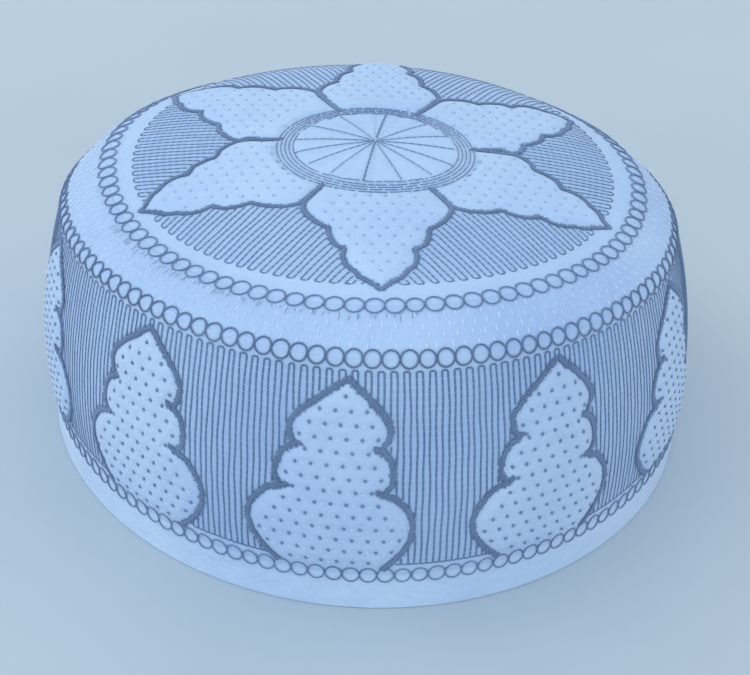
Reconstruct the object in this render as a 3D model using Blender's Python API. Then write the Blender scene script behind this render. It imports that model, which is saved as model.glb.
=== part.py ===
"""A round prayer cap of padded cotton, standing on its rim.

Four closed cloth walls lie one above the other round an open hollow: a domed crown panel, a padded
shoulder, a bulged side band and a plain hem. Every wall is a stretch of one outer skin. The skin is
a run of rows from the middle of the crown down to the rim, and each row is a slightly uneven ring.
+Z is up and -Y is the front; an angle round the cap is 0 at the front and grows towards +X.
Lengths are in metres.
"""

import math

import bmesh
import bpy
from mathutils import Vector

# Radii of the rows of circles that bound the walls, measured on the outer skin
RIM_RADIUS = 0.0932
HEM_TOP_RADIUS = 0.0930
BAND_TOP_RADIUS = 0.0866
CROWN_RADIUS = 0.0748

# Heights of the walls, one above the other
HEM_HEIGHT = 0.0114
BAND_HEIGHT = 0.0607
SHOULDER_HEIGHT = 0.0083
CROWN_RISE = 0.0071

# How far the cloth swells out of the straight lines between the rows
BAND_BULGE = 0.0032
SHOULDER_PUFF = 0.0008
HUB_PUFF = 0.0009
HUB_PUFF_REACH = 0.45  # share of the crown's radius

# The crown rolls down behind, where nothing fills the cap
BACK_ROLL = 0.0104
BACK_ROLL_START = 0.72  # share of the crown's radius
BACK_ROLL_SPREAD = 1.5  # power that keeps the roll away from the sides

# Thickness of each padded wall, and the clear gap that keeps two walls apart at a seam
CROWN_CLOTH = 0.0025
SHOULDER_CLOTH = 0.0030
BAND_CLOTH = 0.0026
HEM_CLOTH = 0.0028
SEAM_GAP = 0.0003

# How the stuffed cloth departs from even rings, a row for each number of waves round the cap, with
# each wave's cosine and sine parts. "edge" is the height of the crown's edge as a share of
# BAND_HEIGHT, "fall" the drop over the shoulder as a share of SHOULDER_HEIGHT, and "round" the
# radius of every row as a share of itself.
WAVES = (
    {"count": 1, "edge": (0.0, 0.0), "fall": (-0.265, -0.094), "round": (0.0, 0.0)},
    {"count": 2, "edge": (0.029, 0.006), "fall": (-0.145, 0.173), "round": (-0.004, 0.005)},
    {"count": 3, "edge": (0.010, 0.012), "fall": (0.178, 0.042), "round": (0.012, -0.002)},
)

# How far the middle of each row has crept along X and Y, as shares of that row's radius
HUB_CREEP = Vector((-0.011, -0.005, 0.0))
CROWN_CREEP = Vector((-0.015, 0.012, 0.0))
BAND_TOP_CREEP = Vector((-0.023, -0.014, 0.0))
NO_CREEP = Vector((0.0, 0.0, 0.0))

# Facets round the cap, and rows of facets down each wall
AROUND = 90
CROWN_ROWS = 9
SHOULDER_ROWS = 3
BAND_ROWS = 7
HEM_ROWS = 2

# An edge that turns more than this is shaded as an edge, in degrees
CREASE_ANGLE = 50.0

# Linear colour and roughness of each wall, where a wall with dark stitching looks darker as a whole
COTTONS = {
    "crown_panel": {"colour": (0.47, 0.62, 0.88, 1.0), "roughness": 0.86},
    "shoulder_band": {"colour": (0.52, 0.67, 0.93, 1.0), "roughness": 0.84},
    "side_band": {"colour": (0.42, 0.56, 0.84, 1.0), "roughness": 0.87},
    "hem_band": {"colour": (0.50, 0.66, 0.92, 1.0), "roughness": 0.82},
}


def clear_scene():
    for item in list(bpy.data.objects):
        bpy.data.objects.remove(item, do_unlink=True)


def wave(column, angle):
    """The sum of one column's waves at an angle."""
    total = 0.0
    for row in WAVES:
        cosine, sine = row[column]
        total += cosine * math.cos(row["count"] * angle) + sine * math.sin(row["count"] * angle)
    return total


def arch(share):
    """A curve that is 0 at both ends of a wall and 1 half way."""
    return 4.0 * share * (1.0 - share)


def outward(angle):
    return Vector((math.sin(angle), -math.cos(angle), 0.0))


def sideways(angle):
    return Vector((math.cos(angle), math.sin(angle), 0.0))


def ring_point(radius, height, angle, creep=NO_CREEP):
    reach = outward(angle) * (1.0 + wave("round", angle))
    return (creep + reach) * radius + Vector((0.0, 0.0, height))


def back_roll(angle):
    return BACK_ROLL * max(0.0, -math.cos(angle)) ** BACK_ROLL_SPREAD


def crown_point(share, angle):
    """A point of the crown panel; share is 0 in its middle and 1 on its edge."""
    level = HEM_HEIGHT + BAND_HEIGHT + SHOULDER_HEIGHT
    dome = CROWN_RISE * (1.0 - share**2)
    hub = HUB_PUFF * max(0.0, 1.0 - (share / HUB_PUFF_REACH) ** 2) ** 2
    swell = BAND_HEIGHT * wave("edge", angle) * share**2
    rolled = max(0.0, share - BACK_ROLL_START) / (1.0 - BACK_ROLL_START)
    height = level + dome + hub + swell - back_roll(angle) * rolled**2
    middle = HUB_CREEP.lerp(CROWN_CREEP, share**2) * CROWN_RADIUS
    return middle + ring_point(CROWN_RADIUS * share, height, angle)


def band_top_point(angle):
    fall = SHOULDER_HEIGHT * (1.0 + wave("fall", angle))
    return ring_point(BAND_TOP_RADIUS, crown_point(1.0, angle).z - fall, angle, BAND_TOP_CREEP)


def shoulder_point(share, angle):
    """A point of the shoulder; share is 0 at the crown's edge and 1 at the band's top."""
    top, foot = crown_point(1.0, angle), band_top_point(angle)
    away = (foot - top).cross(sideways(angle)).normalized()
    return top.lerp(foot, share) + away * SHOULDER_PUFF * arch(share)


def band_point(share, angle):
    """A point of the side band; share is 0 at its top and 1 at its foot."""
    top, foot = band_top_point(angle), ring_point(HEM_TOP_RADIUS, HEM_HEIGHT, angle)
    return top.lerp(foot, share) + outward(angle) * BAND_BULGE * arch(share)


def hem_point(share, angle):
    """A point of the hem; share is 0 at its top and 1 at the rim, which stands at height 0."""
    top, foot = ring_point(HEM_TOP_RADIUS, HEM_HEIGHT, angle), ring_point(RIM_RADIUS, 0.0, angle)
    return top.lerp(foot, share)


WALLS = (
    {"name": "crown_panel", "point": crown_point, "rows": CROWN_ROWS, "cloth": CROWN_CLOTH},
    {"name": "shoulder_band", "point": shoulder_point, "rows": SHOULDER_ROWS, "cloth": SHOULDER_CLOTH},
    {"name": "side_band", "point": band_point, "rows": BAND_ROWS, "cloth": BAND_CLOTH},
    {"name": "hem_band", "point": hem_point, "rows": HEM_ROWS, "cloth": HEM_CLOTH},
)


def skin_line(angle):
    """The outer skin at one angle, as points from the middle of the crown down to the rim."""
    points = [crown_point(0.0, angle)]
    for wall in WALLS:
        points += [wall["point"](row / wall["rows"], angle) for row in range(1, wall["rows"] + 1)]
    return points


def skin_directions(points, angle):
    """The way down the skin and the way into the cloth at each point, which is level at the rim."""
    down = [outward(angle)]
    down += [(after - before).normalized() for before, after in zip(points, points[2:])]
    down.append(Vector((0.0, 0.0, -1.0)))
    return down, [sideways(angle).cross(way).normalized() for way in down]


def middle_of_box(lines):
    """The middle of the skin's box as seen from above, which becomes the origin."""
    xs = [point.x for points in lines for point in points]
    ys = [point.y for points in lines for point in points]
    return Vector((min(xs) + max(xs), min(ys) + max(ys), 0.0)) / 2.0


def wall_section(points, angle, first, last, cloth):
    """One wall cut at an angle, as its outer and inner points, each stopping short of the seams."""
    down, inward = skin_directions(points, angle)
    outer = points[first : last + 1]
    if first > 0:
        outer[0] = points[first] + down[first] * SEAM_GAP / 2.0
    if last < len(points) - 1:
        outer[-1] = points[last] - down[last] * SEAM_GAP / 2.0
    inner = [point + way * cloth for point, way in zip(outer, inward[first : last + 1])]
    return outer, inner


def join_rings(mesh, upper, lower):
    for here in range(AROUND):
        after = (here + 1) % AROUND
        mesh.faces.new((upper[here], lower[here], lower[after], upper[after]))


def close_middle(mesh, tip, ring):
    for here in range(AROUND):
        mesh.faces.new((tip, ring[here], ring[(here + 1) % AROUND]))


def rings_of(mesh, sections, face, rows):
    """The rings of vertices of one face of the wall, a ring for each row."""
    return [[mesh.verts.new(section[face][row]) for section in sections] for row in rows]


def cotton(name):
    look = COTTONS[name]
    material = bpy.data.materials.new(name + "_cotton")
    material.use_nodes = True
    surface = material.node_tree.nodes["Principled BSDF"]
    surface.inputs["Base Color"].default_value = look["colour"]
    surface.inputs["Roughness"].default_value = look["roughness"]
    material.diffuse_color = look["colour"]
    return material


def build_wall(name, sections, has_middle):
    mesh = bmesh.new()
    rows = range(1 if has_middle else 0, len(sections[0][0]))
    outer, inner = (rings_of(mesh, sections, face, rows) for face in (0, 1))
    for rings in (outer, inner):
        for upper, lower in zip(rings, rings[1:]):
            join_rings(mesh, upper, lower)
    join_rings(mesh, outer[-1], inner[-1])
    if has_middle:
        close_middle(mesh, mesh.verts.new(sections[0][0][0]), outer[0])
        close_middle(mesh, mesh.verts.new(sections[0][1][0]), inner[0])
    else:
        join_rings(mesh, inner[0], outer[0])
    bmesh.ops.recalc_face_normals(mesh, faces=mesh.faces)
    data = bpy.data.meshes.new(name)
    mesh.to_mesh(data)
    mesh.free()
    data.shade_smooth()
    data.set_sharp_from_angle(angle=math.radians(CREASE_ANGLE))
    data.materials.append(cotton(name))
    bpy.context.scene.collection.objects.link(bpy.data.objects.new(name, data))


def build_cap():
    angles = [2.0 * math.pi * step / AROUND for step in range(AROUND)]
    lines = [skin_line(angle) for angle in angles]
    origin = middle_of_box(lines)
    lines = [[point - origin for point in points] for points in lines]
    first = 0
    for wall in WALLS:
        last = first + wall["rows"]
        sections = [
            wall_section(points, angle, first, last, wall["cloth"])
            for points, angle in zip(lines, angles)
        ]
        build_wall(wall["name"], sections, has_middle=first == 0)
        first = last


clear_scene()
build_cap()
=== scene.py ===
# %% [markdown]
# # A padded prayer cap with machine embroidery
#
# The cap is a kofia: a round, brimless cap of quilted cloth. Such caps are usually two layers of
# cotton with wadding between them, embroidered flat by machine and then sewn into a crown, a
# shoulder and a side band. This lesson dresses four plain cloth solids. It builds the padded cloth
# first and then lays real stitches on it, because thread that stands on cloth catches light in a
# way that a flat pattern doesn't.

# %% Load the solids that set the size
import math

import bpy
import numpy as np
from mathutils import Matrix, Vector


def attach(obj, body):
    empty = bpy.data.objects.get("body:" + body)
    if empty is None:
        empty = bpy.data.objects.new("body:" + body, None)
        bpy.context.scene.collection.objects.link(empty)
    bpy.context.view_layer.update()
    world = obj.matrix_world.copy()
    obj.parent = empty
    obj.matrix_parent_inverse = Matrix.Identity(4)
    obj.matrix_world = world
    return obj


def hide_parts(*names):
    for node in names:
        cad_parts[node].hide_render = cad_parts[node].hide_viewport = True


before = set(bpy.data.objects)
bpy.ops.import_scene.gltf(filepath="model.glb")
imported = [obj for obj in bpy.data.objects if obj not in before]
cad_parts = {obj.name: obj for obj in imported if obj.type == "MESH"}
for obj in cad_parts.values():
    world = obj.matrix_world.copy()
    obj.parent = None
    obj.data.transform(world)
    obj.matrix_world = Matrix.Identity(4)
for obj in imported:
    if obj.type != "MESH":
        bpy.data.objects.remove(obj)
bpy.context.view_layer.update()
rng = np.random.default_rng(11)
print("solids:", sorted(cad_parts))

# %% [markdown]
# ## One skin for the whole cap
#
# A soft cap is never a true cylinder. Each row of it is a ring that has crept a little and is a
# little oval, and the crown's edge rolls down behind. One set of formulas gives the skin, so that
# cloth, stitches and seams all agree. A sculpt could give the same form, but nothing could then be
# placed on it by measure. Lengths in these formulas are millimetres, and an angle round the cap is
# 0 at the front.

# %% The sizes of the skin
MM = 0.001
RIM_RADIUS, HEM_TOP_RADIUS, BAND_TOP_RADIUS, CROWN_RADIUS = 93.2, 93.0, 86.6, 74.8
HEM_HEIGHT, BAND_HEIGHT, SHOULDER_HEIGHT, CROWN_RISE = 11.4, 60.7, 8.3, 7.1
BAND_BULGE, SHOULDER_PUFF, HUB_PUFF, HUB_PUFF_REACH = 3.2, 0.8, 0.9, 0.45
BACK_ROLL, BACK_ROLL_START, BACK_ROLL_SPREAD = 10.4, 0.72, 1.5

# How far the middle of a row has crept along X and Y, as shares of that row's radius
HUB_CREEP, CROWN_CREEP, BAND_TOP_CREEP = (-0.011, -0.005), (-0.015, 0.012), (-0.023, -0.014)

# Waves round the cap, each with a cosine and a sine part. "edge" is the height of the crown's edge
# as a share of BAND_HEIGHT, "fall" the drop over the shoulder as a share of SHOULDER_HEIGHT, and
# "round" the radius of every row as a share of itself.
WAVES = (
    {"count": 1, "edge": (0.0, 0.0), "fall": (-0.265, -0.094), "round": (0.0, 0.0)},
    {"count": 2, "edge": (0.029, 0.006), "fall": (-0.145, 0.173), "round": (-0.004, 0.005)},
    {"count": 3, "edge": (0.010, 0.012), "fall": (0.178, 0.042), "round": (0.012, -0.002)},
)


def wave(column, angle):
    """The sum of one column's waves at an angle."""
    parts = [
        row[column][0] * np.cos(row["count"] * angle) + row[column][1] * np.sin(row["count"] * angle)
        for row in WAVES
    ]
    return sum(parts)


def ring(radius, height, angle, creep=(0.0, 0.0)):
    """Points of one row of the skin."""
    reach = radius * (1 + wave("round", angle))
    x = creep[0] * radius + reach * np.sin(angle)
    y = creep[1] * radius - reach * np.cos(angle)
    return np.stack([x, y, height + 0 * x], -1)


tall = HEM_HEIGHT + BAND_HEIGHT + SHOULDER_HEIGHT + CROWN_RISE + HUB_PUFF
print("the middle of the crown stands", round(tall, 1), "mm high")


# %% The four walls, each as a function of a share down it and an angle round it
def crown(share, angle):
    roll = BACK_ROLL * np.maximum(0, -np.cos(angle)) ** BACK_ROLL_SPREAD
    rolled = np.maximum(0, share - BACK_ROLL_START) / (1 - BACK_ROLL_START)
    height = HEM_HEIGHT + BAND_HEIGHT + SHOULDER_HEIGHT + CROWN_RISE * (1 - share**2)
    height = height + HUB_PUFF * np.maximum(0, 1 - (share / HUB_PUFF_REACH) ** 2) ** 2
    height = height + BAND_HEIGHT * wave("edge", angle) * share**2 - roll * rolled**2
    flat = ring(CROWN_RADIUS * share, height, angle)
    for axis in (0, 1):
        creep = HUB_CREEP[axis] + (CROWN_CREEP[axis] - HUB_CREEP[axis]) * share**2
        flat[..., axis] += creep * CROWN_RADIUS
    return flat


def band_top(angle):
    fall = SHOULDER_HEIGHT * (1 + wave("fall", angle))
    return ring(BAND_TOP_RADIUS, crown(1 + 0 * angle, angle)[..., 2] - fall, angle, BAND_TOP_CREEP)


def outward(angle):
    return np.stack([np.sin(angle), -np.cos(angle), 0 * angle], -1)


def unit(vectors):
    return vectors / np.maximum(np.linalg.norm(vectors, axis=-1, keepdims=True), 1e-9)


def mix(top, foot, share, away, swell):
    """Points between two rows, swollen by swell millimetres half way."""
    share = (share + 0 * top[..., 0])[..., None]
    return top + (foot - top) * share + away * swell * 4 * share * (1 - share)


def shoulder(share, angle):
    top, foot = crown(1 + 0 * angle, angle), band_top(angle)
    away = unit(np.cross(foot - top, np.stack([np.cos(angle), np.sin(angle), 0 * angle], -1)))
    return mix(top, foot, share, away, SHOULDER_PUFF)


def band(share, angle):
    foot = ring(HEM_TOP_RADIUS, HEM_HEIGHT, angle)
    return mix(band_top(angle), foot, share, outward(angle), BAND_BULGE)


def hem(share, angle):
    foot = ring(RIM_RADIUS, 0, angle)
    return mix(ring(HEM_TOP_RADIUS, HEM_HEIGHT, angle), foot, share, outward(angle), 0)


PROBE = 0.002  # the step, as a share and in radians, over which a wall's slope is taken
LEAST_SHARE = 0.01  # keeps that step clear of the crown's middle, where all angles meet


def skin(wall, share, angle, lift=0.0):
    """Points lift millimetres above a wall, and the directions square to it."""
    share, angle = np.broadcast_arrays(np.asarray(share, float), np.asarray(angle, float))
    safe = np.maximum(share, LEAST_SHARE)
    down = wall(safe + PROBE, angle) - wall(safe - PROBE, angle)
    around = wall(safe, angle + PROBE) - wall(safe, angle - PROBE)
    normal = unit(np.cross(down, around))
    return wall(share, angle) + normal * np.asarray(lift)[..., None], normal


turn = np.linspace(0, 2 * math.pi, 721)
edge = np.concatenate([wall(s, turn) for wall in (band, hem) for s in np.linspace(0, 1, 15)])
ORIGIN = (edge.min(0) + edge.max(0)) / 2 * [1, 1, 0]
print("the side and hem fill", (edge.max(0) - edge.min(0)).round(1), "mm about", ORIGIN.round(2))

# %% [markdown]
# ## The two motifs
#
# Trees stand round the side, and six petals lie round the hub of the crown. Five trees show from
# the front, a tenth of a turn apart, so ten stand there in all. Each motif is one half outline,
# mirrored: a short table gives how far along the motif each turn of the outline lies and how wide
# the motif is there. A curve goes through them and keeps its corners where two lobes meet. The
# numbers are shares of the motif's length.

# %% Half outlines, as lobes that meet in corners
TREE_LENGTH, TREE_TURNS, TREE_FIRST = 57.0, 10, math.radians(-1.3)
TREE_LOBES = (
    {"along": (0.0, 0.055, 0.150, 0.235, 0.325), "half": (0.0, 0.070, 0.180, 0.228, 0.196)},
    {"along": (0.325, 0.360, 0.440, 0.500, 0.539), "half": (0.196, 0.238, 0.265, 0.258, 0.230)},
    {
        "along": (0.539, 0.575, 0.680, 0.790, 0.890, 0.965),
        "half": (0.230, 0.300, 0.368, 0.366, 0.310, 0.236),
    },
)
LEAN = {"along": (0.0, 0.23, 0.44, 0.74, 0.95), "shift": (0.0, -0.035, -0.058, -0.081, -0.075)}
LEFT_TREES, LEFT_LEAN = 2, 0.45  # the last trees, left of the front, lean less than the others
PETAL_LOBES = (
    {"along": (0.0, 0.035, 0.075, 0.110), "half": (0.0, 0.032, 0.078, 0.096)},
    {"along": (0.110, 0.145, 0.200, 0.245), "half": (0.096, 0.125, 0.140, 0.131)},
    {"along": (0.245, 0.280, 0.340, 0.383), "half": (0.131, 0.172, 0.190, 0.192)},
    {
        "along": (0.383, 0.420, 0.480, 0.540, 0.595, 0.655, 0.73),
        "half": (0.192, 0.235, 0.264, 0.267, 0.236, 0.199, 0.156),
    },
)
PETALS = (
    {"turn": 3.3, "length": 68.7},
    {"turn": 68.6, "length": 69.5},
    {"turn": 120.8, "length": 67.2},
    {"turn": 180.0, "length": 67.0},
    {"turn": -122.0, "length": 72.0},
    {"turn": -63.7, "length": 68.9},
)
FOOT_START, FOOT_SPREAD = 0.42, 0.2  # where a petal starts to spread, and over how much of its length
HUB = np.array([-1.1, 0.3])
HUB_RINGS = {"middle": (-0.8, -1.9), "outer": (27.6, 24.1), "inner": (23.1, 19.6), "count": 5}


def curve(xs, ys, pieces=24):
    """A smooth curve through a lobe's points, with free ends."""
    p = np.stack([xs, ys], -1)
    p = np.concatenate([2 * p[:1] - p[1:2], p, 2 * p[-1:] - p[-2:-1]])
    out = []
    for a, b, c, d in zip(p, p[1:], p[2:], p[3:]):
        t = np.linspace(0, 1, pieces, endpoint=False)[:, None]
        square, cube = 2 * a - 5 * b + 4 * c - d, 3 * b - a - 3 * c + d
        out.append(0.5 * (2 * b + (c - a) * t + square * t**2 + cube * t**3))
    return np.concatenate(out + [p[-2:-1]])


def half_outline(lobes, length):
    return np.concatenate([curve(row["along"], row["half"]) for row in lobes]) * length


def petal_half(number, mirror):
    """A petal's outline on one side, spread at its foot until it meets the next petal's."""
    petal, beside = PETALS[number], PETALS[(number + mirror) % len(PETALS)]
    gap = math.radians(((beside["turn"] - petal["turn"]) * mirror) % 360)
    half = half_outline(PETAL_LOBES, petal["length"])
    foot = np.clip((half[:, 0] / petal["length"] - FOOT_START) / FOOT_SPREAD, 0, 1)
    half[:, 1] *= 1 + (math.tan(gap / 2) / math.tan(math.pi / len(PETALS)) - 1) * foot
    return half


tree_half = half_outline(TREE_LOBES, TREE_LENGTH)
print("a tree is", TREE_LENGTH, "mm tall and", round(2 * tree_half[:, 1].max(), 1), "mm wide")

# %% How far inside a motif each point of the cloth lies
BAND_MM = 62.0  # the side band's length from the upper to the lower row of circles
AROUND_MM = 93.0  # the radius that turns an angle into a length along the side
TREE_TOP = BAND_MM - TREE_LENGTH
TREE_SECTOR = 2 * math.pi / TREE_TURNS
OUTSIDE, WELL_OUTSIDE, FAR_OUTSIDE = -3.0, -5.0, -99.0  # depths for places clear of a motif
PETALS_FROM = 20.0  # the petals start this far from the hub's middle


def lean_at(index, down):
    """How far a numbered tree's middle line has shifted sideways, down millimetres from its tip."""
    share = np.where(np.mod(index, TREE_TURNS) >= TREE_TURNS - LEFT_TREES, LEFT_LEAN, 1.0)
    return np.interp(down / TREE_LENGTH, LEAN["along"], LEAN["shift"]) * TREE_LENGTH * share


def tree_local(share, angle):
    """Across and down the nearest tree, in mm, for points of the side band."""
    index = np.round((angle - TREE_FIRST) / TREE_SECTOR)
    across = (angle - TREE_FIRST - index * TREE_SECTOR) * AROUND_MM
    down = share * BAND_MM - TREE_TOP
    return across - lean_at(index, down), down


def inside(across, down, half):
    """Millimetres in from a motif's side; negative outside."""
    order = np.argsort(half[:, 0])
    wide = np.interp(down, half[order, 0], half[order, 1], left=OUTSIDE, right=half[order[-1], 1])
    return wide - np.abs(across)


def to_crown(x, y):
    """Share and angle on the crown of a point of its plan."""
    share, angle = np.hypot(x, y) / CROWN_RADIUS, np.arctan2(x, -y)
    for _ in range(4):
        creep = [h + (c - h) * share**2 for h, c in zip(HUB_CREEP, CROWN_CREEP)]
        dx, dy = x - creep[0] * CROWN_RADIUS, y - creep[1] * CROWN_RADIUS
        angle = np.arctan2(dx, -dy)
        share = np.hypot(dx, dy) / CROWN_RADIUS / (1 + wave("round", angle))
    return share, angle


def facing(turn):
    """The direction out at an angle in plan, and the one square to it."""
    return np.array([math.sin(turn), -math.cos(turn)]), np.array([math.cos(turn), math.sin(turn)])


def petal_local(petal, x, y):
    """How far out along a petal and across it a point of the crown's plan lies."""
    out, side = facing(math.radians(petal["turn"]))
    along = (x - HUB[0]) * out[0] + (y - HUB[1]) * out[1]
    return along, (x - HUB[0]) * side[0] + (y - HUB[1]) * side[1]


def petal_plan(petal, across, down):
    """Points of the crown's plan, from how far across a petal and down from its tip they lie."""
    out, side = facing(math.radians(petal["turn"]))
    return HUB + np.outer(petal["length"] - down, out) + np.outer(across, side)


def petal_depth(x, y):
    """Millimetres in from the side of the nearest petal; negative outside all six."""
    best = np.full(np.shape(x), FAR_OUTSIDE)
    for number, petal in enumerate(PETALS):
        along, across = petal_local(petal, x, y)
        for mirror in (-1, 1):
            depth = inside(across, petal["length"] - along, petal_half(number, mirror))
            here = (along > PETALS_FROM) & (across * mirror >= 0)
            best = np.maximum(best, np.where(here, depth, FAR_OUTSIDE))
    return best


def hub_share(x, y):
    """1 on the outer ring of the hub, less inside it."""
    middle, outer = HUB_RINGS["middle"], HUB_RINGS["outer"]
    return np.hypot((x - middle[0]) / outer[0], (y - middle[1]) / outer[1])


# %% [markdown]
# ## Padded cloth
#
# Wadding swells wherever no stitch holds it down, so the trees and petals stand proud, each dot is a
# small pit and the ground between close lines of stitching stays flat and firm. That relief is in
# the mesh: a fine grid is moved in and out along the skin's own direction. A cloth simulation would
# spend its time on folds that this stiff, quilted cloth doesn't have.

# %% Where the dots lie
DOT_ROW, DOT_STEP, DOT_MARGIN, PIT_WIDE = 3.7, 4.0, 2.6, 0.75
TREE_DOTS = {"tip": 4.2, "foot": 4.0, "side": 24.0}  # how near the ends and how far out dots may lie
PETAL_DOTS = {"tip": 7.0, "foot": 28.0, "side": 20.0}


def lattice(length, limits, half):
    """Staggered rows of dots well inside a motif, as places across and down it."""
    rows = np.arange(limits["tip"], length - limits["foot"], DOT_ROW)
    steps = np.arange(-limits["side"], limits["side"] + DOT_STEP, DOT_STEP)
    dots = np.array([[x + DOT_STEP / 2 * (i % 2), d] for i, d in enumerate(rows) for x in steps])
    return dots[inside(dots[:, 0], dots[:, 1], half) > DOT_MARGIN]


def petal_dots(petal):
    return lattice(petal["length"], PETAL_DOTS, half_outline(PETAL_LOBES, petal["length"]))


def pits(across, down, dots):
    """How deep each point lies in the nearest dots' pits, from 0 to 1."""
    depth = np.zeros(across.shape)
    for x, d in dots:
        depth += np.exp(-(((across - x) ** 2 + (down - d) ** 2) / PIT_WIDE**2))
    return np.minimum(depth, 1)


tree_dots = lattice(TREE_LENGTH, TREE_DOTS, tree_half)
print("dots on a tree:", len(tree_dots), "and on each petal:", [len(petal_dots(p)) for p in PETALS])

# %% The relief of each wall, in millimetres, and where close lines will hold its cloth down, which is marked for painted shade
TREE_RELIEF = {"puff": 0.9, "pit": 0.55, "groove": 0.35}
PETAL_RELIEF = {"puff": 0.8, "pit": 0.42, "groove": 0.3}
CALM_FOOT, CALM_OVER = 1.5, 4.0  # the relief of the side dies away towards the lower circles
LINED_TOP, LINED_FOOT, LINED_FADE = 2, 3, 1.5  # where the painted shade of the lined ground starts and ends on the side
LINE_REACH = 67.5  # the lines of the crown end this far from its middle
HUB_CLEAR, HUB_PUFFED, HUB_MM = 1.04, 0.82, 25  # shares of the hub's outer ring, and its radius
HUB_SWELLINGS, HUB_RELIEF = 16, 0.45
PETAL_SIDE = 24  # no petal reaches further than this to either side


def swell(depth, reach=5.0):
    s = np.clip(depth / reach, 0, 1)
    return s * s * (3 - 2 * s)


def groove(depth, wide=1.4):
    return np.exp(-((depth / wide) ** 2))


def band_relief(share, angle):
    across, down = tree_local(share, angle)
    depth = np.where(down > 0, inside(across, down, tree_half), WELL_OUTSIDE)
    above, below = share * BAND_MM, (1 - share) * BAND_MM
    relief = TREE_RELIEF["puff"] * swell(depth) - TREE_RELIEF["pit"] * pits(across, down, tree_dots)
    relief = (relief - TREE_RELIEF["groove"] * groove(depth)) * swell(below - CALM_FOOT, CALM_OVER)
    # The ground between close lines gets a mask for painted shade, the shade of its grooves.
    line_shade = swell(-depth, LINED_FADE) * swell(above - LINED_TOP, LINED_FADE)
    return relief, line_shade * swell(below - LINED_FOOT, LINED_FADE)


def crown_relief(share, angle):
    place = crown(share, angle)
    x, y = place[..., 0], place[..., 1]
    hub = hub_share(x, y)
    depth = np.where(hub < HUB_CLEAR, OUTSIDE, petal_depth(x, y))
    relief = PETAL_RELIEF["puff"] * swell(depth) - PETAL_RELIEF["groove"] * groove(depth)
    for petal in PETALS:
        along, across = petal_local(petal, x, y)
        near = (along > PETALS_FROM) & (np.abs(across) < PETAL_SIDE)
        dent = pits(across[near], petal["length"] - along[near], petal_dots(petal))
        relief[near] -= PETAL_RELIEF["pit"] * dent
    puff = np.sqrt(np.abs(np.sin(HUB_SWELLINGS / 2 * np.arctan2(x - HUB[0], y - HUB[1]))))
    relief += np.where(hub < HUB_PUFFED, HUB_RELIEF * puff * np.clip(hub * 2, 0, 1), 0)
    reach = LINE_REACH - np.hypot(x - CROWN_CREEP[0] * CROWN_RADIUS, y - CROWN_CREEP[1] * CROWN_RADIUS)
    # The same mask of painted shade, for the ground between the crown's lines.
    line_shade = swell(-depth, LINED_FADE) * swell(reach, LINED_FADE)
    return relief, line_shade * swell((hub - HUB_CLEAR) * HUB_MM, 1.0)


# The shoulder and the hem only pucker. Their waves are whole numbers round the cap, so that each
# relief meets itself behind.
QUILT_TURNS, QUILT_ROWS = 150, 4
SHOULDER_PUCKER, HEM_PUCKER = 0.14, 0.08


def shoulder_relief(share, angle):
    puff = np.abs(np.sin(angle * QUILT_TURNS / 2)) ** 0.6
    pucker = np.sin(angle * 61 + 3 * np.sin(angle * 7)) * np.sin(angle * 97 + 9 * share)
    return SHOULDER_PUCKER * (puff + pucker) * np.sin(math.pi * share), 0 * share


def hem_relief(share, angle):
    ripple = np.sin(angle * 37 + 2 * np.sin(angle * 5)) * np.sin(math.pi * share)
    return HEM_PUCKER * ripple, 0 * share


# %% [markdown]
# ## Making a closed wall of cloth
#
# Every wall gets an outer face with the relief, a plain inner face one cloth thickness in, and a
# turned edge between them. Both faces are rings of points, so one loop joins them. The map of each
# corner is kept in centimetres, so that the threads of the weave can be counted by the centimetre.

# %% Build a wall from rings of points
SEAM_GAP = 0.04
COLUMNS, INNER_ROWS, CREASE = 600, 8, math.radians(60)
CM = 0.1  # turns millimetres into the centimetres of the map
INNER_MAP = 40  # the map of an inner face starts this many millimetres further on
SHOULDER_MM = 14.4  # the shoulder's length from the crown's circles to the band's
CROWN_CLOTH, SHOULDER_CLOTH, BAND_CLOTH, HEM_CLOTH = 2.5, 3.0, 2.6, 2.8


def new_piece(name, points, faces):
    """A smooth piece from points in millimetres."""
    mesh = bpy.data.meshes.new(name)
    mesh.from_pydata(((points.reshape(-1, 3) - ORIGIN) * MM).tolist(), [], faces)
    mesh.shade_smooth()
    piece = bpy.data.objects.new(name, mesh)
    bpy.context.scene.collection.objects.link(piece)
    return piece


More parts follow.
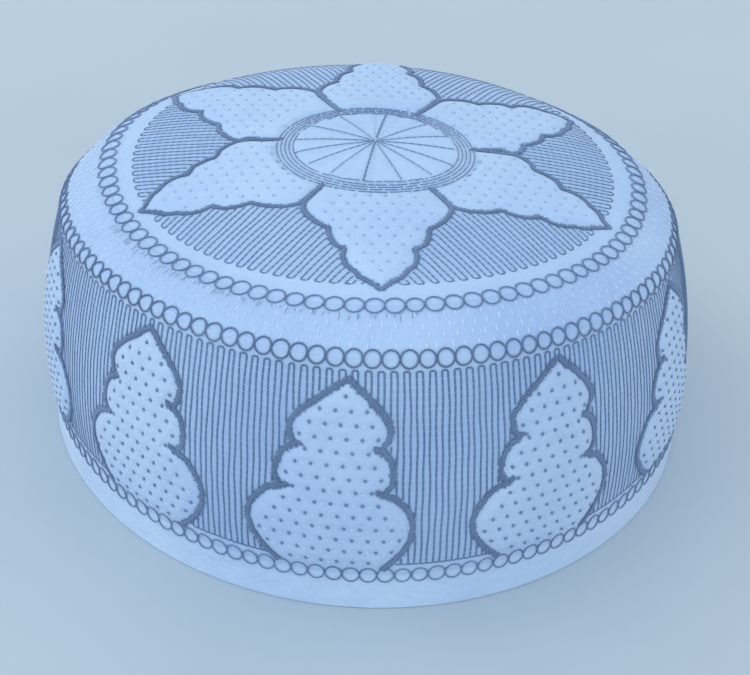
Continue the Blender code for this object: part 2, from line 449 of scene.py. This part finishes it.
def wall_mesh(name, wall, relief, cloth, rows, length, first=0.0, foot_gap=True):
    trim = SEAM_GAP / 2 / length
    shares = np.linspace(first + (trim if first == 0 else 0), 1 - (trim if foot_gap else 0), rows)
    angles = np.linspace(0, 2 * math.pi, COLUMNS, endpoint=False)
    s, a = np.meshgrid(shares, angles, indexing="ij")
    lift, line_shade = relief(s, a)
    outer, _ = skin(wall, s, a, lift)
    inner_rows = np.linspace(0, rows - 1, INNER_ROWS).round().astype(int)[::-1]
    inner, _ = skin(wall, s[inner_rows], a[inner_rows], -cloth)
    if not foot_gap:
        outer[-1, :, 2] = inner[0, :, 2] = 0.0
    points = np.concatenate([outer, inner])
    line_shade = np.concatenate([line_shade, np.zeros(inner.shape[:2])])
    down = np.concatenate([shares * length, shares[inner_rows] * length + INNER_MAP])
    total = len(points)
    row = np.arange(total if first == 0 else total - 1)
    r, c = (g.ravel() for g in np.meshgrid(row, np.arange(COLUMNS), indexing="ij"))
    low, after = (r + 1) % total, (c + 1) % COLUMNS
    here, under = r * COLUMNS, low * COLUMNS
    quads = np.stack([here + c, under + c, under + after, here + after], -1)
    wide = 2 * math.pi * AROUND_MM / COLUMNS
    corners = ((c, r), (c, low), (c + 1, low), (c + 1, r))
    chart = np.stack([np.stack([across * wide, down[level]], -1) for across, level in corners], 1)
    faces = quads.tolist()
    if first > 0:
        faces += [list(range(COLUMNS)), list(range((total - 1) * COLUMNS, total * COLUMNS))[::-1]]
        flat = points.reshape(-1, 3)[:, :2]
        chart = np.concatenate([flat[quads].reshape(-1, 2), flat[np.concatenate(faces[-2:])]])
    piece = new_piece(name, points, faces)
    mesh = piece.data
    mesh.uv_layers.new(name="chart").data.foreach_set("uv", (chart.reshape(-1, 2) * CM).ravel())
    # The mask of painted shade between close lines is kept on each point.
    mesh.attributes.new("line_shade", "FLOAT", "POINT").data.foreach_set("value", line_shade.ravel())
    mesh.set_sharp_from_angle(angle=CREASE)
    print(name, len(mesh.polygons), "faces")
    return piece


crown_cloth = wall_mesh("crown_cloth", crown, crown_relief, CROWN_CLOTH, 80, CROWN_RADIUS, first=0.01)
shoulder_cloth = wall_mesh("shoulder_cloth", shoulder, shoulder_relief, SHOULDER_CLOTH, 16, SHOULDER_MM)
side_cloth = wall_mesh("side_cloth", band, band_relief, BAND_CLOTH, 76, BAND_MM)
hem_cloth = wall_mesh("hem_cloth", hem, hem_relief, HEM_CLOTH, 14, HEM_HEIGHT, foot_gap=False)

# %% [markdown]
# ## Stitches
#
# A stitch is a short length of thread that dives into the cloth at both ends. It is made here as a
# four-sided spindle, which is enough at its real size of half a millimetre. All stitches of one kind
# are one mesh, built at once from arrays: more than twenty thousand separate objects would take far
# longer.

# %% Many stitches as one mesh
BELLY = 0.4  # how far the middle line of a stitch is raised, as a share of half its thickness


def stitches(name, rows, thick, sag=0.15, taper=0.2, high=1.0):
    """Spindles from rows of starts, ends and directions out of the cloth."""
    starts, ends, normals = map(np.concatenate, zip(*rows))
    thick = np.reshape(thick, (-1, 1))
    along = ends - starts
    side = unit(np.cross(normals, along)) * (thick / 2)
    rise = unit(normals) * (thick / 2 * high)
    rings = []
    for share in (taper, 1 - taper):
        middle = starts + along * share + rise * BELLY
        rings.append(np.stack([middle + side, middle + rise, middle - side, middle - rise], 1))
    sunk = rise * (2 * sag)
    points = np.concatenate([(starts - sunk)[:, None], rings[0], rings[1], (ends - sunk)[:, None]], 1)
    corner = np.arange(4)
    follow = (corner + 1) % 4
    one = np.concatenate([
        np.stack([0 * corner, 1 + corner, 1 + follow], -1),
        np.stack([0 * corner + 9, 5 + follow, 5 + corner], -1),
        np.stack([1 + corner, 5 + corner, 5 + follow], -1),
        np.stack([1 + corner, 5 + follow, 1 + follow], -1),
    ])
    faces = (one[None] + 10 * np.arange(len(points))[:, None, None]).reshape(-1, 3)
    print(name, len(points), "stitches,", len(faces), "triangles")
    return new_piece(name, points, faces.tolist())


def band_point(across, down, index, lift=0.15):
    """A place on the side band beside a numbered tree, with its direction out."""
    angle = TREE_FIRST + index * TREE_SECTOR + (across + lean_at(index, down)) / AROUND_MM
    share = (down + TREE_TOP) / BAND_MM
    relief, _ = band_relief(share, angle)
    return skin(band, share, angle, relief + lift)


def crown_place(x, y, lift=0.15):
    """A place on the crown, from its plan, with its direction out."""
    share, angle = to_crown(x, y)
    relief, _ = crown_relief(share, angle)
    return skin(crown, share, angle, relief + lift)


def crown_row(starts, ends, lift=0.15):
    """Starts, ends and directions out for stitches drawn in the crown's plan."""
    p, n = crown_place(*starts.T, lift=lift)
    q, _ = crown_place(*ends.T, lift=lift)
    return p, q, n


def jitter(count, size):
    return rng.normal(0, size, count)


# %% [markdown]
# ## Satin outlines
#
# The dark edge of each tree and petal is satin stitch: the needle zigzags, so that threads lie side
# by side across the line. The stitches follow the outline at a fixed pitch and slope a little, and
# their ends are uneven. Fine loose fibres stand out from both edges, which makes the border furry.

# %% Walk along an outline and lay threads across it
SATIN_PITCH, TREE_SATIN, PETAL_SATIN, SATIN_THREAD = 0.42, 1.48, 1.2, 0.48
SATIN_UNEVEN, SATIN_SLOPE, SLOPE_UNEVEN = 0.33, 0.45, 0.2
FRINGE_PITCH, FRINGE_REACH, FRINGE_THREAD = 0.55, 0.75, 0.15
FRINGE_ROOT, FRINGE_LEAST, FRINGE_BEND = 0.45, 0.4, 0.25
LOOK_AHEAD = 0.4  # the direction of a path is taken over this much to either side
LEAD_IN = (-1.0, -2.0)  # each lower lobe starts this far up and inside, so its border laps the one above


def walk(path, pitch):
    """Points at even steps along a path, the way along it and the direction square to that."""
    run = np.concatenate([[0], np.cumsum(np.linalg.norm(np.diff(path, axis=0), axis=1))])
    at = np.arange(0, run[-1], pitch)
    here, ahead, back = (
        np.stack([np.interp(at + shift, run, path[:, i]) for i in (0, 1)], -1)
        for shift in (0, LOOK_AHEAD, -LOOK_AHEAD)
    )
    way = unit(ahead - back)
    return here, way, np.stack([-way[:, 1], way[:, 0]], -1)


def satin_ends(path, wide):
    """The two ends of each thread of a satin border."""
    here, way, square = walk(path, SATIN_PITCH)
    near, far = (wide / 2 * (1 + np.abs(jitter(len(here), SATIN_UNEVEN)))[:, None] for _ in range(2))
    slope = way * (SATIN_SLOPE + jitter(len(here), SLOPE_UNEVEN))[:, None]
    return here - square * near - slope, here + square * far + slope


def fringe_ends(path, wide):
    """Loose fibres that stand out from either edge of a satin border."""
    here, way, square = walk(path, FRINGE_PITCH)
    outside = square * np.where(rng.random(len(here)) < 0.5, -1.0, 1.0)[:, None]
    root = here + outside * wide * FRINGE_ROOT
    reach = rng.uniform(FRINGE_LEAST, 1.0, len(here))[:, None] * FRINGE_REACH
    return root, root + outside * reach + way * jitter(len(here), FRINGE_BEND)[:, None]


tree_paths = []
for number, row in enumerate(TREE_LOBES):
    path = curve(row["along"], row["half"]) * TREE_LENGTH
    tree_paths.append(path if number == 0 else np.concatenate([path[:1] + LEAD_IN, path]))

satin, fringe = [], []
for index in range(TREE_TURNS):
    for mirror in (-1, 1):
        for path in tree_paths:
            for ends_of, rows in ((satin_ends, satin), (fringe_ends, fringe)):
                a, b = ends_of(path[:, ::-1] * [mirror, 1], TREE_SATIN)
                p, n = band_point(*a.T, index)
                q, _ = band_point(*b.T, index)
                rows.append((p, q, n))
tree_satin = stitches("tree_satin", satin, SATIN_THREAD)

satin = []
for number, petal in enumerate(PETALS):
    for mirror in (-1, 1):
        for ends_of, rows in ((satin_ends, satin), (fringe_ends, fringe)):
            pair = ends_of(petal_half(number, mirror)[:, ::-1] * [mirror, 1], PETAL_SATIN)
            a, b = (petal_plan(petal, *end.T) for end in pair)
            keep = hub_share(*a.T) > 1.0
            rows.append(crown_row(a[keep], b[keep]))
petal_satin = stitches("petal_satin", satin, SATIN_THREAD)
satin_fringe = stitches("satin_fringe", fringe, FRINGE_THREAD, sag=0.02)

# %% [markdown]
# ## Close lines of running stitch
#
# The ground between the motifs is quilted with close lines, about 1.7 mm apart on the side and 1.8
# mm on the crown, that turn back at their ends like hairpins. On the side they hang straight down.
# On the crown each of the six gaps has its own parallel lines. A line is cut into stitches, and
# those that would cross a motif are dropped.

# %% Lines down the side band
LINES_PER_TREE, LINE_THREAD, LINE_TAPER, LINE_LIFT, LINE_HIGH = 35, 0.54, 0.12, 0.05, 0.4
LINE_TOP, LINE_FOOT, LINE_CLEAR, FOOT_CLEAR = 3.0, 58.3, -0.9, -1.0
STITCH, LAP, LAST_STITCH = 1.9, 1.06, 0.5  # a stitch's pitch, its length in pitches, the shortest last one
WOBBLE, WOBBLE_RUNS = 0.085, (2.4, 6.1)  # how far a line swings to each side, and how slowly, in mm


def wobble(phase, along):
    """How far a line has strayed sideways, in millimetres."""
    return WOBBLE * (np.sin(along / WOBBLE_RUNS[0] + phase) + np.sin(along / WOBBLE_RUNS[1] + 2 * phase))


LINES = LINES_PER_TREE * TREE_TURNS
line_angles = TREE_FIRST + (np.arange(LINES) + 0.5) * 2 * math.pi / LINES
line_phases = rng.uniform(0, 2 * math.pi, LINES)
tops = np.arange(LINE_TOP, LINE_FOOT - LAST_STITCH, STITCH)
a, d = (g.ravel() for g in np.meshgrid(line_angles, tops, indexing="ij"))
phase = np.repeat(line_phases, len(tops))
down = np.stack([d, np.minimum(d + STITCH * LAP, LINE_FOOT)])
share, sway = down / BAND_MM, wobble(phase, down) / AROUND_MM
middle = tree_local(share.mean(0), a)
keep = (inside(*middle, tree_half) < LINE_CLEAR) | (middle[1] < 0)
a, share, sway = a[keep], share[:, keep], sway[:, keep]
clear = inside(*tree_local(LINE_FOOT / BAND_MM, line_angles), tree_half) < FOOT_CLEAR
top_angles = line_angles + wobble(line_phases, LINE_TOP) / AROUND_MM
foot_angles = line_angles + wobble(line_phases, LINE_FOOT) / AROUND_MM
runs = (
    (share[0], a + sway[0], share[1], a + sway[1]),
    (LINE_TOP / BAND_MM, top_angles[0::2], LINE_TOP / BAND_MM, top_angles[1::2]),
    (LINE_FOOT / BAND_MM, foot_angles[clear], LINE_FOOT / BAND_MM, np.roll(foot_angles, -1)[clear]),
)
rows = []
for share_a, angle_a, share_b, angle_b in runs:
    p, n = skin(band, share_a, angle_a, LINE_LIFT)
    q, _ = skin(band, share_b, angle_b, LINE_LIFT)
    rows.append((p, q, n))
side_lines = stitches("side_lines", rows, LINE_THREAD, sag=0.05, taper=LINE_TAPER, high=LINE_HIGH)

# %% Lines in the six gaps of the crown
LINE_STEP, CROWN_THREAD, CROWN_TAPER = 1.8, 0.52, 0.2
LINE_END, RING_CLEAR = 20, 1.03  # lines stop this far from the middle, or clear of the hub's ring
crown_middle = np.array(CROWN_CREEP) * CROWN_RADIUS
pairs = []
for petal, after in zip(PETALS, PETALS[1:] + PETALS[:1]):
    gap = math.radians((after["turn"] - petal["turn"]) % 360)
    out, side = facing(math.radians(petal["turn"]) + gap / 2)
    turned = 0
    for offset in np.arange(-LINE_REACH / 2, LINE_REACH / 2, LINE_STEP):
        reach = math.sqrt(max(0, LINE_REACH**2 - offset**2))
        along = reach - np.arange(0, reach - LINE_END, STITCH)
        base, phase = crown_middle + side * offset, rng.uniform(0, 2 * math.pi)
        p, q = (
            base + np.outer(end, out) + np.outer(wobble(phase, end), side)
            for end in (along, along - STITCH * LAP)
        )
        seen = [np.arctan2(e @ side, e @ out) for e in (p - HUB, q - HUB)]
        keep = (np.abs(seen[0]) < gap / 2) & (np.abs(seen[1]) < gap / 2)
        keep &= petal_depth(*((p + q) / 2).T) < LINE_CLEAR
        keep &= hub_share(*((p + q) / 2).T) > RING_CLEAR
        pairs.append((p[keep], q[keep]))
        if keep.any() and keep[0]:
            turned += 1
            if turned % 2 == 0:
                pairs.append((p[:1], last))
            last = p[:1]
rows = [crown_row(*map(np.concatenate, zip(*pairs)), lift=LINE_LIFT)]
crown_lines = stitches("crown_lines", rows, CROWN_THREAD, sag=0.1, taper=CROWN_TAPER, high=LINE_HIGH)

# %% [markdown]
# ## Hub, spokes, dots and rows of circles
#
# The hub is five rings of running stitch round fourteen spokes. The dots are little knots pulled
# down into the wadding, with short white stitches between them on the trees. Each row of circles is
# a chain, one small ring of thread beside the next, and it covers a seam, so its circles reach over
# two walls of cloth.

# %% The hub
SPOKES = (-7, 20, 45, 70, 97, 118, 142, 174, -151, -124, -98, -76, -54, -32)  # degrees from the front
BOLD_SPOKES, SPOKE_STITCH, SPOKE_STARTS = (-7, 174), 2.2, (0.3, 1.6)
RING_STITCHES, RING_THREAD, SPOKE_THREAD, BOLD_THREAD = 80, 0.27, 0.24, 0.44
RING_STEP, RING_UNEVEN = 2 * math.pi / RING_STITCHES, 0.008


def hub_plan(angle, wide, deep):
    """Points on an oval about the middle of the hub's rings."""
    x = HUB_RINGS["middle"][0] + wide * np.sin(angle)
    return np.stack([x, HUB_RINGS["middle"][1] - deep * np.cos(angle)], -1)


pairs, thick = [], []
for level in np.linspace(0, 1, HUB_RINGS["count"]):
    wide, deep = (i + (o - i) * level for i, o in zip(HUB_RINGS["inner"], HUB_RINGS["outer"]))
    steps = np.linspace(0, 2 * math.pi, RING_STITCHES, endpoint=False) + rng.uniform(0, 1)
    steps = steps + jitter(RING_STITCHES, RING_UNEVEN)
    pairs.append((hub_plan(steps, wide, deep), hub_plan(steps + RING_STEP, wide, deep)))
    thick.append(np.full(RING_STITCHES, RING_THREAD))
for number, spoke in enumerate(SPOKES):
    reach = hub_plan(math.radians(spoke), *HUB_RINGS["inner"]) - HUB
    far = np.linalg.norm(reach)
    at = np.arange(SPOKE_STARTS[number % 2], far - 1, SPOKE_STITCH)[:, None] / far
    pairs.append((HUB + reach * at, HUB + reach * np.minimum(at + SPOKE_STITCH / far, 1)))
    thick.append(np.full(len(at), BOLD_THREAD if spoke in BOLD_SPOKES else SPOKE_THREAD))
rows = [crown_row(*map(np.concatenate, zip(*pairs)))]
hub_lines = stitches("hub_lines", rows, np.concatenate(thick), sag=0.05, taper=0.1)

# %% Knots on the trees with short white stitches between them, and fainter knots on the petals
KNOT, TUFT, TUFT_FALL = 1.25, 0.9, 0.3
KNOT_THREAD, PETAL_KNOT_THREAD, WHITE_THREAD = 0.55, 0.45, 0.33
TREE_KNOT_LIFT, PETAL_KNOT_LIFT, QUILT_LIFT = 0.05, 0.03, 0.02
knots, white = [], []
for index in range(TREE_TURNS):
    x, d = tree_dots.T
    numbers = index + 0 * x
    for dx, dy in ((KNOT / 2, 0.0), (0.0, KNOT / 2), (KNOT / 3, KNOT / 3)):
        p, n = band_point(x - dx, d - dy, numbers, TREE_KNOT_LIFT)
        q, _ = band_point(x + dx, d + dy, numbers, TREE_KNOT_LIFT)
        knots.append((p, q, n))
    between = x + DOT_STEP / 2
    p, n = band_point(between - TUFT / 2, d, numbers, TREE_KNOT_LIFT)
    q, _ = band_point(between + TUFT / 2, d + TUFT_FALL, numbers, TREE_KNOT_LIFT)
    white.append((p, q, n))
tree_knots = stitches("tree_knots", knots, KNOT_THREAD)

knots = []
for petal in PETALS:
    x, d = petal_dots(petal).T
    for dx, dy in ((TUFT / 2, 0.0), (0.0, TUFT / 2)):
        pair = (petal_plan(petal, x + s * dx, d + s * dy) for s in (-1, 1))
        knots.append(crown_row(*pair, lift=PETAL_KNOT_LIFT))
petal_knots = stitches("petal_knots", knots, PETAL_KNOT_THREAD)

# %% White quilting on the shoulder, in staggered rows that run towards the crown
QUILT_FIRST, QUILT_STEP, QUILT_STITCH, QUILT_SLANT = 0.16, 0.19, 0.13, 0.002
ANGLE_UNEVEN, SHARE_UNEVEN = 0.004, 0.015
for row in range(QUILT_ROWS):
    a = (np.arange(QUILT_TURNS) + 0.5 * (row % 2)) * 2 * math.pi / QUILT_TURNS
    a = a + jitter(len(a), ANGLE_UNEVEN)
    at = QUILT_FIRST + QUILT_STEP * row + jitter(len(a), SHARE_UNEVEN)
    end = at + QUILT_STITCH
    p, n = skin(shoulder, at, a, shoulder_relief(at, a)[0] + QUILT_LIFT)
    q, _ = skin(shoulder, end, a + QUILT_SLANT, shoulder_relief(end, a)[0] + QUILT_LIFT)
    white.append((p, q, n))
white_quilting = stitches("white_quilting", white, WHITE_THREAD)

# %% Rows of circles over the seams
CIRCLES = (
    {"name": "crown_circles", "above": crown, "above_mm": CROWN_RADIUS, "below": shoulder,
     "below_mm": SHOULDER_MM, "count": 94, "first": 0.101, "wide": 2.5, "tall": 2.5, "thread": 0.46},
    {"name": "band_circles", "above": shoulder, "above_mm": SHOULDER_MM, "below": band,
     "below_mm": BAND_MM, "count": 120, "first": 0.041, "wide": 2.3, "tall": 2.3, "thread": 0.54},
    {"name": "foot_circles", "above": band, "above_mm": BAND_MM, "below": hem,
     "below_mm": HEM_HEIGHT, "count": 130, "first": 0.0875, "wide": 2.28, "tall": 2.4, "thread": 0.42},
)
CIRCLE_STITCHES, CIRCLE_LAP, CIRCLE_UNEVEN = 12, 0.08, 0.03


def over_seam(row, down, angle, lift=0.2):
    """A place near a seam, down millimetres below it or above it where that is negative."""
    up, up_n = skin(row["above"], 1 + np.minimum(down, 0) / row["above_mm"], angle, lift)
    low, low_n = skin(row["below"], np.maximum(down, 0) / row["below_mm"], angle, lift)
    below = (down > 0)[..., None]
    return np.where(below, low, up), unit(up_n + low_n)


circles = []
for row in CIRCLES:
    centres = (row["first"] + np.arange(row["count"]) * 2 * math.pi / row["count"])[:, None]
    size = 1 + jitter(row["count"], CIRCLE_UNEVEN)[:, None]
    seam = row["below"](0 * centres, centres)
    around = np.hypot(seam[..., 0], seam[..., 1])
    steps = np.arange(CIRCLE_STITCHES) * 2 * math.pi / CIRCLE_STITCHES
    pair = []
    for extra in (-CIRCLE_LAP, 2 * math.pi / CIRCLE_STITCHES + CIRCLE_LAP):
        t = steps[None] + extra
        down = (row["tall"] * size * np.cos(t)).ravel()
        angle = (centres + row["wide"] * size * np.sin(t) / around).ravel()
        pair.append(over_seam(row, down, angle))
    (p, n), (q, _) = pair
    circles.append(stitches(row["name"], [(p, q, n)], row["thread"], sag=0.02))

# %% A few loose hairs of thread below the crown's circles
HAIRS, HAIR_FROM, HAIR_TO, HAIR_THREAD = 52, math.radians(-62), math.radians(10), 0.14
HAIR_SHARE, HAIR_SPREAD, HAIR_REACH = 0.17, 0.03, (0.07, 0.2)  # shares of the way down the shoulder
a = np.linspace(HAIR_FROM, HAIR_TO, HAIRS) + jitter(HAIRS, 0.007)
at = HAIR_SHARE + rng.uniform(0, HAIR_SPREAD, HAIRS)
p, n = skin(shoulder, at, a, 0.3)
q, _ = skin(shoulder, at + rng.uniform(*HAIR_REACH, HAIRS), a + jitter(HAIRS, ANGLE_UNEVEN), 0.5)
loose_hairs = stitches("loose_hairs", [(p, q, n)], HAIR_THREAD, sag=0.02)

# %% [markdown]
# ## Cotton and thread
#
# The cloth is taken to be a fine plain-woven cotton in a pale blue. It has no gloss of its own: a
# high roughness and a little sheen, the light that stands in its fuzz, tell the eye that it is
# cotton. The thread is taken to be mercerised cotton, which is smoother, so it is less rough. A blue
# of one hex value would look printed, so slow noise moves each colour a little, as wear and washing
# do.

# %% Helpers for colour and nodes
def linear(hex_colour):
    values = [int(hex_colour[i : i + 2], 16) / 255 for i in (1, 3, 5)]
    return [v / 12.92 if v <= 0.04045 else ((v + 0.055) / 1.055) ** 2.4 for v in values] + [1.0]


def node(tree, kind, settings=(), **links):
    """A node with its settings, linked by arguments such as _0 for its first input."""
    made = tree.nodes.new(kind)
    for key, value in dict(settings).items():
        if isinstance(key, str) and hasattr(made, key):
            setattr(made, key, value)
        else:
            made.inputs[key].default_value = value
    for key, source in links.items():
        tree.links.new(source, made.inputs[int(key[1:])])
    return made


def new_material(name):
    material = bpy.data.materials.new(name)
    material.use_nodes = True
    return material, material.node_tree, material.node_tree.nodes["Principled BSDF"]


def tone(tree, place, colour, worn, scale):
    """A colour that drifts slowly towards a worn one."""
    patches = node(tree, "ShaderNodeTexNoise", {"Scale": scale, "Detail": 4.0}, _0=place)
    ramp = node(tree, "ShaderNodeValToRGB", _0=patches.outputs[0])
    for element, position, value in zip(ramp.color_ramp.elements, (0.35, 0.68), (colour, worn)):
        element.position, element.color = position, linear(value)
    return ramp.outputs[0]


def bump_chain(tree, layers):
    """Bumps one over the other, each a height with a strength and a depth in metres."""
    normal = None
    for height, strength, depth in layers:
        made = node(tree, "ShaderNodeBump", {"Strength": strength, "Distance": depth})
        tree.links.new(height, made.inputs["Height"])
        if normal is not None:
            tree.links.new(normal, made.inputs["Normal"])
        normal = made.outputs[0]
    return normal


# %% The cotton cloth
# Real poplin has about 30 threads to the centimetre. The weave is drawn at 16, so that it can show.
WEAVE_PER_CM = 16.0
COTTON_IOR = 1.53
FUZZ_SCALE, CRUMPLE_SCALE, CLOTH_PATCHES = 900.0, 120.0, 22.0  # noise per metre
LINED_PAINTED_SHADE = "#E9EFF6"  # painted shade of the grooves between close lines, a slightly darker tint chosen to match the photograph


def cotton(name, colour, worn, rough):
    material, tree, surface = new_material(name)
    chart = node(tree, "ShaderNodeUVMap", {"uv_map": "chart"}).outputs[0]
    parts = node(tree, "ShaderNodeSeparateXYZ", _0=chart)
    solid = node(tree, "ShaderNodeTexCoord").outputs["Object"]
    waves = []
    for axis in (0, 1):
        factor = {"operation": "MULTIPLY", 1: 2 * math.pi * WEAVE_PER_CM}
        turn = node(tree, "ShaderNodeMath", factor, _0=parts.outputs[axis])
        waves.append(node(tree, "ShaderNodeMath", {"operation": "SINE"}, _0=turn.outputs[0]).outputs[0])
    weave = node(tree, "ShaderNodeMath", {"operation": "MULTIPLY"}, _0=waves[0], _1=waves[1]).outputs[0]
    fuzz = node(tree, "ShaderNodeTexNoise", {"Scale": FUZZ_SCALE, "Detail": 3.0}, _0=solid).outputs[0]
    crumple = node(tree, "ShaderNodeTexNoise", {"Scale": CRUMPLE_SCALE, "Detail": 4.0}, _0=solid).outputs[0]
    relief = bump_chain(tree, ((weave, 0.35, 0.0002), (fuzz, 0.6, 0.0005), (crumple, 0.7, 0.0022)))
    tree.links.new(relief, surface.inputs["Normal"])
    # Where close lines hold the cloth down, its colour is darkened: painted shade of the grooves between
    # them.
    line_shade = node(tree, "ShaderNodeAttribute", {"attribute_name": "line_shade"}).outputs["Fac"]
    painted_shade = node(tree, "ShaderNodeMix", {"data_type": "RGBA", "blend_type": "MULTIPLY"})
    tree.links.new(line_shade, painted_shade.inputs["Factor"])
    tree.links.new(tone(tree, solid, colour, worn, CLOTH_PATCHES), painted_shade.inputs["A"])
    painted_shade.inputs["B"].default_value = linear(LINED_PAINTED_SHADE)
    tree.links.new(painted_shade.outputs["Result"], surface.inputs["Base Color"])
    surface.inputs["Roughness"].default_value = rough
    surface.inputs["IOR"].default_value = COTTON_IOR
    surface.inputs["Sheen Weight"].default_value = 0.25
    surface.inputs["Sheen Roughness"].default_value = 0.5
    return material


# The four walls are one cotton. Each blue is set to match how bright its wall looks, so the darker shoulder
# is partly painted shade and the lighter hem partly painted light.
CLOTHS = (
    {"piece": crown_cloth, "node": "crown_panel", "colour": "#9FC3EF", "worn": "#ACCDF4", "rough": 0.88},
    {"piece": shoulder_cloth, "node": "shoulder_band", "colour": "#98BBEA", "worn": "#A7C8F1", "rough": 0.86},
    {"piece": side_cloth, "node": "side_band", "colour": "#A4C3EC", "worn": "#B0CEF1", "rough": 0.88},
    {"piece": hem_cloth, "node": "hem_band", "colour": "#AFCDF2", "worn": "#BCD8F7", "rough": 0.84},
)
for row in CLOTHS:
    material = cotton("poplin_" + row["node"], row["colour"], row["worn"], row["rough"])
    row["piece"].data.materials.append(material)
print("cloth materials:", len(CLOTHS))

# %% The embroidery threads
THREAD_TWIST = 2600.0  # noise per metre, which breaks a thread's light as its twist does
THREAD_PATCHES = 60.0


def thread(name, colour, worn):
    material, tree, surface = new_material(name)
    solid = node(tree, "ShaderNodeTexCoord").outputs["Object"]
    twist = node(tree, "ShaderNodeTexNoise", {"Scale": THREAD_TWIST, "Detail": 2.0}, _0=solid).outputs[0]
    tree.links.new(bump_chain(tree, ((twist, 0.4, 0.0002),)), surface.inputs["Normal"])
    tree.links.new(tone(tree, solid, colour, worn, THREAD_PATCHES), surface.inputs["Base Color"])
    surface.inputs["Roughness"].default_value = 0.62
    surface.inputs["IOR"].default_value = COTTON_IOR
    surface.inputs["Sheen Weight"].default_value = 0.2
    return material


slate = thread("mercerised_slate_thread", "#5A79A3", "#6889B4")
dark = thread("mercerised_dark_thread", "#4F6E97", "#5F7FA9")
fine = thread("fine_slate_thread", "#53749F", "#6182AE")
knot = thread("knotted_slate_thread", "#6283AF", "#7293BE")
pale = thread("mercerised_white_thread", "#D0E4FB", "#C2DAF7")
faint = thread("faded_slate_thread", "#98B7E0", "#A4C2E8")
THREADS = (
    (tree_satin, slate, "side_band"),
    (petal_satin, slate, "crown_panel"),
    (side_lines, fine, "side_band"),
    (crown_lines, fine, "crown_panel"),
    (hub_lines, fine, "crown_panel"),
    (tree_knots, knot, "side_band"),
    (petal_knots, faint, "crown_panel"),
    (satin_fringe, knot, "side_band"),
    (white_quilting, pale, "shoulder_band"),
    (circles[0], slate, "crown_panel"),
    (circles[1], dark, "side_band"),
    (circles[2], slate, "hem_band"),
    (loose_hairs, dark, "shoulder_band"),
)
for piece, material, _ in THREADS:
    piece.data.materials.append(material)
print("pieces of thread:", len(THREADS))

# %% [markdown]
# ## Tie every piece to the solid
#
# Each cloth wall takes the place of one plain solid, and all pieces ride on the one body.

# %% Ride and replace
for row in CLOTHS:
    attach(row["piece"], "root")
    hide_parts(row["node"])
for piece, _, owner in THREADS:
    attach(piece, "root")
print("pieces:", len(CLOTHS) + len(THREADS))

# %% [markdown]
# ## Floor, light and camera
#
# The photograph is soft and nearly shadowless, as on a pale table by a window. A wide light stands
# to the upper left and a weaker one in front, with bright air all round. The camera is a short
# telephoto looking down about 34 degrees, turned slightly, as a camera held by hand is.

# %% A pale table
bpy.ops.mesh.primitive_plane_add(size=4.0, location=(0, 0, -0.0002))
table = bpy.context.object
table.name = "table"
material, tree, surface = new_material("painted_table")
solid = node(tree, "ShaderNodeTexCoord").outputs["Object"]
tree.links.new(tone(tree, solid, "#ACC0CF", "#B1C4D3", 9.0), surface.inputs["Base Color"])
grain = node(tree, "ShaderNodeTexNoise", {"Scale": 700.0, "Detail": 3.0}, _0=solid).outputs[0]
tree.links.new(bump_chain(tree, ((grain, 0.1, 0.0002),)), surface.inputs["Normal"])
surface.inputs["Roughness"].default_value = 0.6
table.data.materials.append(material)

# %% Light
world = bpy.data.worlds.new("room")
bpy.context.scene.world = world
world.use_nodes = True
world.node_tree.nodes["Background"].inputs["Color"].default_value = (0.95, 0.98, 1.0, 1.0)
world.node_tree.nodes["Background"].inputs["Strength"].default_value = 0.94
bpy.context.scene.view_settings.view_transform = "Standard"
LIGHTS = (
    {"name": "window", "at": (-1.5, -0.1, 1.1), "size": 2.2, "power": 10.5},
    {"name": "room_fill", "at": (0.2, -1.7, 0.8), "size": 2.2, "power": 7.0},
)
for row in LIGHTS:
    data = bpy.data.lights.new(row["name"], "AREA")
    data.energy, data.size = row["power"], row["size"]
    lamp = bpy.data.objects.new(row["name"], data)
    lamp.location = row["at"]
    lamp.rotation_euler = (-lamp.location).to_track_quat("-Z", "Y").to_euler()
    bpy.context.scene.collection.objects.link(lamp)

# %% Camera
CAMERA = {"tilt": 0.599, "roll": 0.057, "distance": 558.0, "aim": (1.96, 0.0, 22.4), "lens": 89.55}
back = np.array([0, -math.cos(CAMERA["tilt"]), math.sin(CAMERA["tilt"])])
flat, rise = np.array([1.0, 0, 0]), np.array([0, math.sin(CAMERA["tilt"]), math.cos(CAMERA["tilt"])])
c, s = math.cos(CAMERA["roll"]), math.sin(CAMERA["roll"])
place = (np.array(CAMERA["aim"]) + CAMERA["distance"] * back - ORIGIN) * MM
axes = [Vector(v) for v in (c * flat + s * rise, -s * flat + c * rise, back)]
data = bpy.data.cameras.new("camera")
data.lens, data.sensor_width, data.sensor_fit = CAMERA["lens"], 36.0, "HORIZONTAL"
camera = bpy.data.objects.new("camera", data)
camera.matrix_world = Matrix.Translation(Vector(place)) @ Matrix(axes).transposed().to_4x4()
bpy.context.scene.collection.objects.link(camera)
bpy.context.scene.camera = camera
